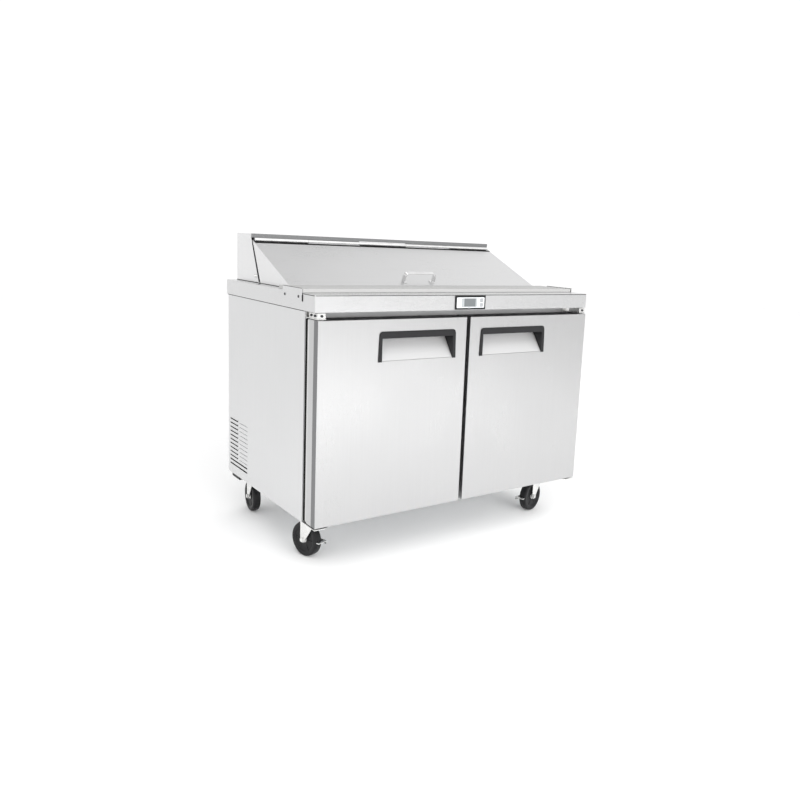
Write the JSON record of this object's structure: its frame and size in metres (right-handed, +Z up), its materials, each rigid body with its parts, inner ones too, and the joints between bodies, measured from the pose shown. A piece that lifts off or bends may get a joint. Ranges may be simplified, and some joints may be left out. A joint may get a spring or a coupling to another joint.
{
  "type": "sandwich prep table",
  "caption": "Two-door refrigerated prep table on swivel casters, with a cutting board, recessed food pans, a hinged sloping lid and recessed door handles.",
  "frame": {"origin": "on the floor, under the middle of the table's bounding box", "axes": "+X to the right along the front, +Y to the back (the doors face -Y), +Z up"},
  "size_m": [1.2326, 0.774, 1.125],
  "materials": {
    "cabinet_stainless": "fine vertical brushed stainless sheet",
    "worktop_stainless": "brushed stainless sheet, grain along the width",
    "hood_stainless": "brushed stainless sheet, grain along the width",
    "rail_stainless": "dark brushed stainless rail",
    "pull_steel": "polished stainless strap",
    "pan_stainless": "satin stainless",
    "galvanised_sheet": "galvanised sheet with a faint spangle",
    "zinc_steel": "bright zinc-plated stamped steel",
    "liner_metal": "satin stainless and aluminium liner sheet",
    "cutting_board_plastic": "white food-grade polyethylene, lightly textured",
    "door_liner_plastic": "white vacuum-formed plastic",
    "handle_plastic": "black textured moulding",
    "seal_rubber": "black flexible seal",
    "wheel_rubber": "black moulded caster wheel",
    "bezel_plastic": "black bezel",
    "display_glass": "grey display window",
    "button_plastic": "grey push button",
    "shelf_wire": "coated bright wire",
    "fin_metal": "bare fin stock",
    "compressor_paint": "black gloss paint",
    "fan_plastic": "black moulded fan"
  },
  "bodies": {
    "cabinet": {"side_panel_left": "cabinet_stainless", "side_panel_right": "cabinet_stainless", "back_panel": "galvanised_sheet", "rear_grille": "galvanised_sheet", "base_pan": "galvanised_sheet", "cabinet_liner": "liner_metal", "worktop": "worktop_stainless", "board_bracket_left": "worktop_stainless", "board_bracket_right": "worktop_stainless", "hood_rear_box": "hood_stainless", "lid_hinge_rail": "rail_stainless", "upper_hinge_left": "zinc_steel", "upper_hinge_right": "zinc_steel", "lower_hinge_left": "zinc_steel", "lower_hinge_right": "zinc_steel", "controller_housing": "bezel_plastic", "controller_display": "display_glass", "evaporator_cover": "cabinet_stainless", "evaporator_coil": "fin_metal", "compressor": "compressor_paint", "condenser_coil": "fin_metal", "cord_gland": "fan_plastic", "caster_plate_front_left": "zinc_steel", "caster_plate_front_right": "zinc_steel", "caster_plate_rear_left": "zinc_steel", "caster_plate_rear_right": "zinc_steel"},
    "door_left": {"door_left_skin": "cabinet_stainless", "door_left_liner": "door_liner_plastic", "door_left_gasket": "seal_rubber", "door_left_handle": "handle_plastic"},
    "door_right": {"door_right_skin": "cabinet_stainless", "door_right_liner": "door_liner_plastic", "door_right_gasket": "seal_rubber", "door_right_handle": "handle_plastic"},
    "lid": {"lid_shell": "hood_stainless", "lid_gasket": "seal_rubber", "lid_handle": "pull_steel"},
    "board": {"cutting_board": "cutting_board_plastic"},
    "pan_1": {"food_pan_1": "pan_stainless"},
    "pan_2": {"food_pan_2": "pan_stainless"},
    "pan_3": {"food_pan_3": "pan_stainless"},
    "pan_4": {"food_pan_4": "pan_stainless"},
    "pan_5": {"food_pan_5": "pan_stainless"},
    "pan_6": {"food_pan_6": "pan_stainless"},
    "shelf_left": {"shelf_left": "shelf_wire"},
    "shelf_right": {"shelf_right": "shelf_wire"},
    "button_up": {"controller_button_up": "button_plastic"},
    "button_down": {"controller_button_down": "button_plastic"},
    "evaporator_fan": {"evaporator_fan": "fan_plastic"},
    "condenser_fan": {"condenser_fan": "fan_plastic"},
    "fork_front_left": {"caster_fork_front_left": "zinc_steel"},
    "wheel_front_left": {"caster_wheel_front_left": "wheel_rubber"},
    "pedal_front_left": {"brake_pedal_front_left": "zinc_steel"},
    "fork_front_right": {"caster_fork_front_right": "zinc_steel"},
    "wheel_front_right": {"caster_wheel_front_right": "wheel_rubber"},
    "pedal_front_right": {"brake_pedal_front_right": "zinc_steel"},
    "fork_rear_left": {"caster_fork_rear_left": "zinc_steel"},
    "wheel_rear_left": {"caster_wheel_rear_left": "wheel_rubber"},
    "fork_rear_right": {"caster_fork_rear_right": "zinc_steel"},
    "wheel_rear_right": {"caster_wheel_rear_right": "wheel_rubber"}
  },
  "joints": [
    {"name": "door_left_hinge", "type": "hinge", "parent": "cabinet", "child": "door_left", "pos_m": [-0.59, -0.361, 0.52], "axis": [0, 0, -1], "range_deg": [0, 110]},
    {"name": "door_right_hinge", "type": "hinge", "parent": "cabinet", "child": "door_right", "pos_m": [0.59, -0.361, 0.52], "axis": [0, 0, 1], "range_deg": [0, 110]},
    {"name": "lid_hinge", "type": "hinge", "parent": "cabinet", "child": "lid", "pos_m": [0, 0.2255, 1.1027], "axis": [-1, 0, 0], "range_deg": [0, 95]},
    {"name": "board_lift", "type": "slide", "parent": "cabinet", "child": "board", "axis": [0, 0, 1], "range_m": [0, 0.1]},
    {"name": "pan_1_lift", "type": "slide", "parent": "cabinet", "child": "pan_1", "axis": [0, 0, 1], "range_m": [0, 0.02]},
    {"name": "pan_2_lift", "type": "slide", "parent": "cabinet", "child": "pan_2", "axis": [0, 0, 1], "range_m": [0, 0.02]},
    {"name": "pan_3_lift", "type": "slide", "parent": "cabinet", "child": "pan_3", "axis": [0, 0, 1], "range_m": [0, 0.02]},
    {"name": "pan_4_lift", "type": "slide", "parent": "cabinet", "child": "pan_4", "axis": [0, 0, 1], "range_m": [0, 0.02]},
    {"name": "pan_5_lift", "type": "slide", "parent": "cabinet", "child": "pan_5", "axis": [0, 0, 1], "range_m": [0, 0.02]},
    {"name": "pan_6_lift", "type": "slide", "parent": "cabinet", "child": "pan_6", "axis": [0, 0, 1], "range_m": [0, 0.02]},
    {"name": "shelf_left_lift", "type": "slide", "parent": "cabinet", "child": "shelf_left", "axis": [0, 0, 1], "range_m": [0, 0.25]},
    {"name": "shelf_right_lift", "type": "slide", "parent": "cabinet", "child": "shelf_right", "axis": [0, 0, 1], "range_m": [0, 0.25]},
    {"name": "button_up_press", "type": "slide", "parent": "cabinet", "child": "button_up", "axis": [0, 1, 0], "range_m": [0, 0.0015], "stiffness_N_per_m": 300},
    {"name": "button_down_press", "type": "slide", "parent": "cabinet", "child": "button_down", "axis": [0, 1, 0], "range_m": [0, 0.0015], "stiffness_N_per_m": 300},
    {"name": "evaporator_fan_spin", "type": "hinge", "parent": "cabinet", "child": "evaporator_fan", "pos_m": [0, 0.265, 0.6525], "axis": [0, 1, 0], "continuous": true},
    {"name": "condenser_fan_spin", "type": "hinge", "parent": "cabinet", "child": "condenser_fan", "pos_m": [-0.48, 0.257, 0.29], "axis": [1, 0, 0], "continuous": true},
    {"name": "swivel_front_left", "type": "hinge", "parent": "cabinet", "child": "fork_front_left", "pos_m": [-0.531, -0.23, 0.15], "axis": [0, 0, 1], "continuous": true},
    {"name": "roll_front_left", "type": "hinge", "parent": "fork_front_left", "child": "wheel_front_left", "pos_m": [-0.5401, -0.19828, 0.0625], "axis": [-0.9613, -0.2756, 0], "continuous": true},
    {"name": "brake_front_left", "type": "hinge", "parent": "fork_front_left", "child": "pedal_front_left", "pos_m": [-0.5401, -0.19828, 0.0625], "axis": [0.9613, 0.2756, 0], "range_deg": [0, 15]},
    {"name": "swivel_front_right", "type": "hinge", "parent": "cabinet", "child": "fork_front_right", "pos_m": [0.531, -0.23, 0.15], "axis": [0, 0, 1], "continuous": true},
    {"name": "roll_front_right", "type": "hinge", "parent": "fork_front_right", "child": "wheel_front_right", "pos_m": [0.49912, -0.23854, 0.0625], "axis": [0.2588, -0.9659, 0], "continuous": true},
    {"name": "brake_front_right", "type": "hinge", "parent": "fork_front_right", "child": "pedal_front_right", "pos_m": [0.49912, -0.23854, 0.0625], "axis": [0.2588, -0.9659, 0], "range_deg": [0, 15]},
    {"name": "swivel_rear_left", "type": "hinge", "parent": "cabinet", "child": "fork_rear_left", "pos_m": [-0.531, 0.29, 0.15], "axis": [0, 0, 1], "continuous": true},
    {"name": "roll_rear_left", "type": "hinge", "parent": "fork_rear_left", "child": "wheel_rear_left", "pos_m": [-0.52812, 0.32287, 0.0625], "axis": [-0.9962, 0.0872, 0], "continuous": true},
    {"name": "swivel_rear_right", "type": "hinge", "parent": "cabinet", "child": "fork_rear_right", "pos_m": [0.531, 0.29, 0.15], "axis": [0, 0, 1], "continuous": true},
    {"name": "roll_rear_right", "type": "hinge", "parent": "fork_rear_right", "child": "wheel_rear_right", "pos_m": [0.5475, 0.31858, 0.0625], "axis": [-0.866, 0.5, 0], "continuous": true}
  ]
}
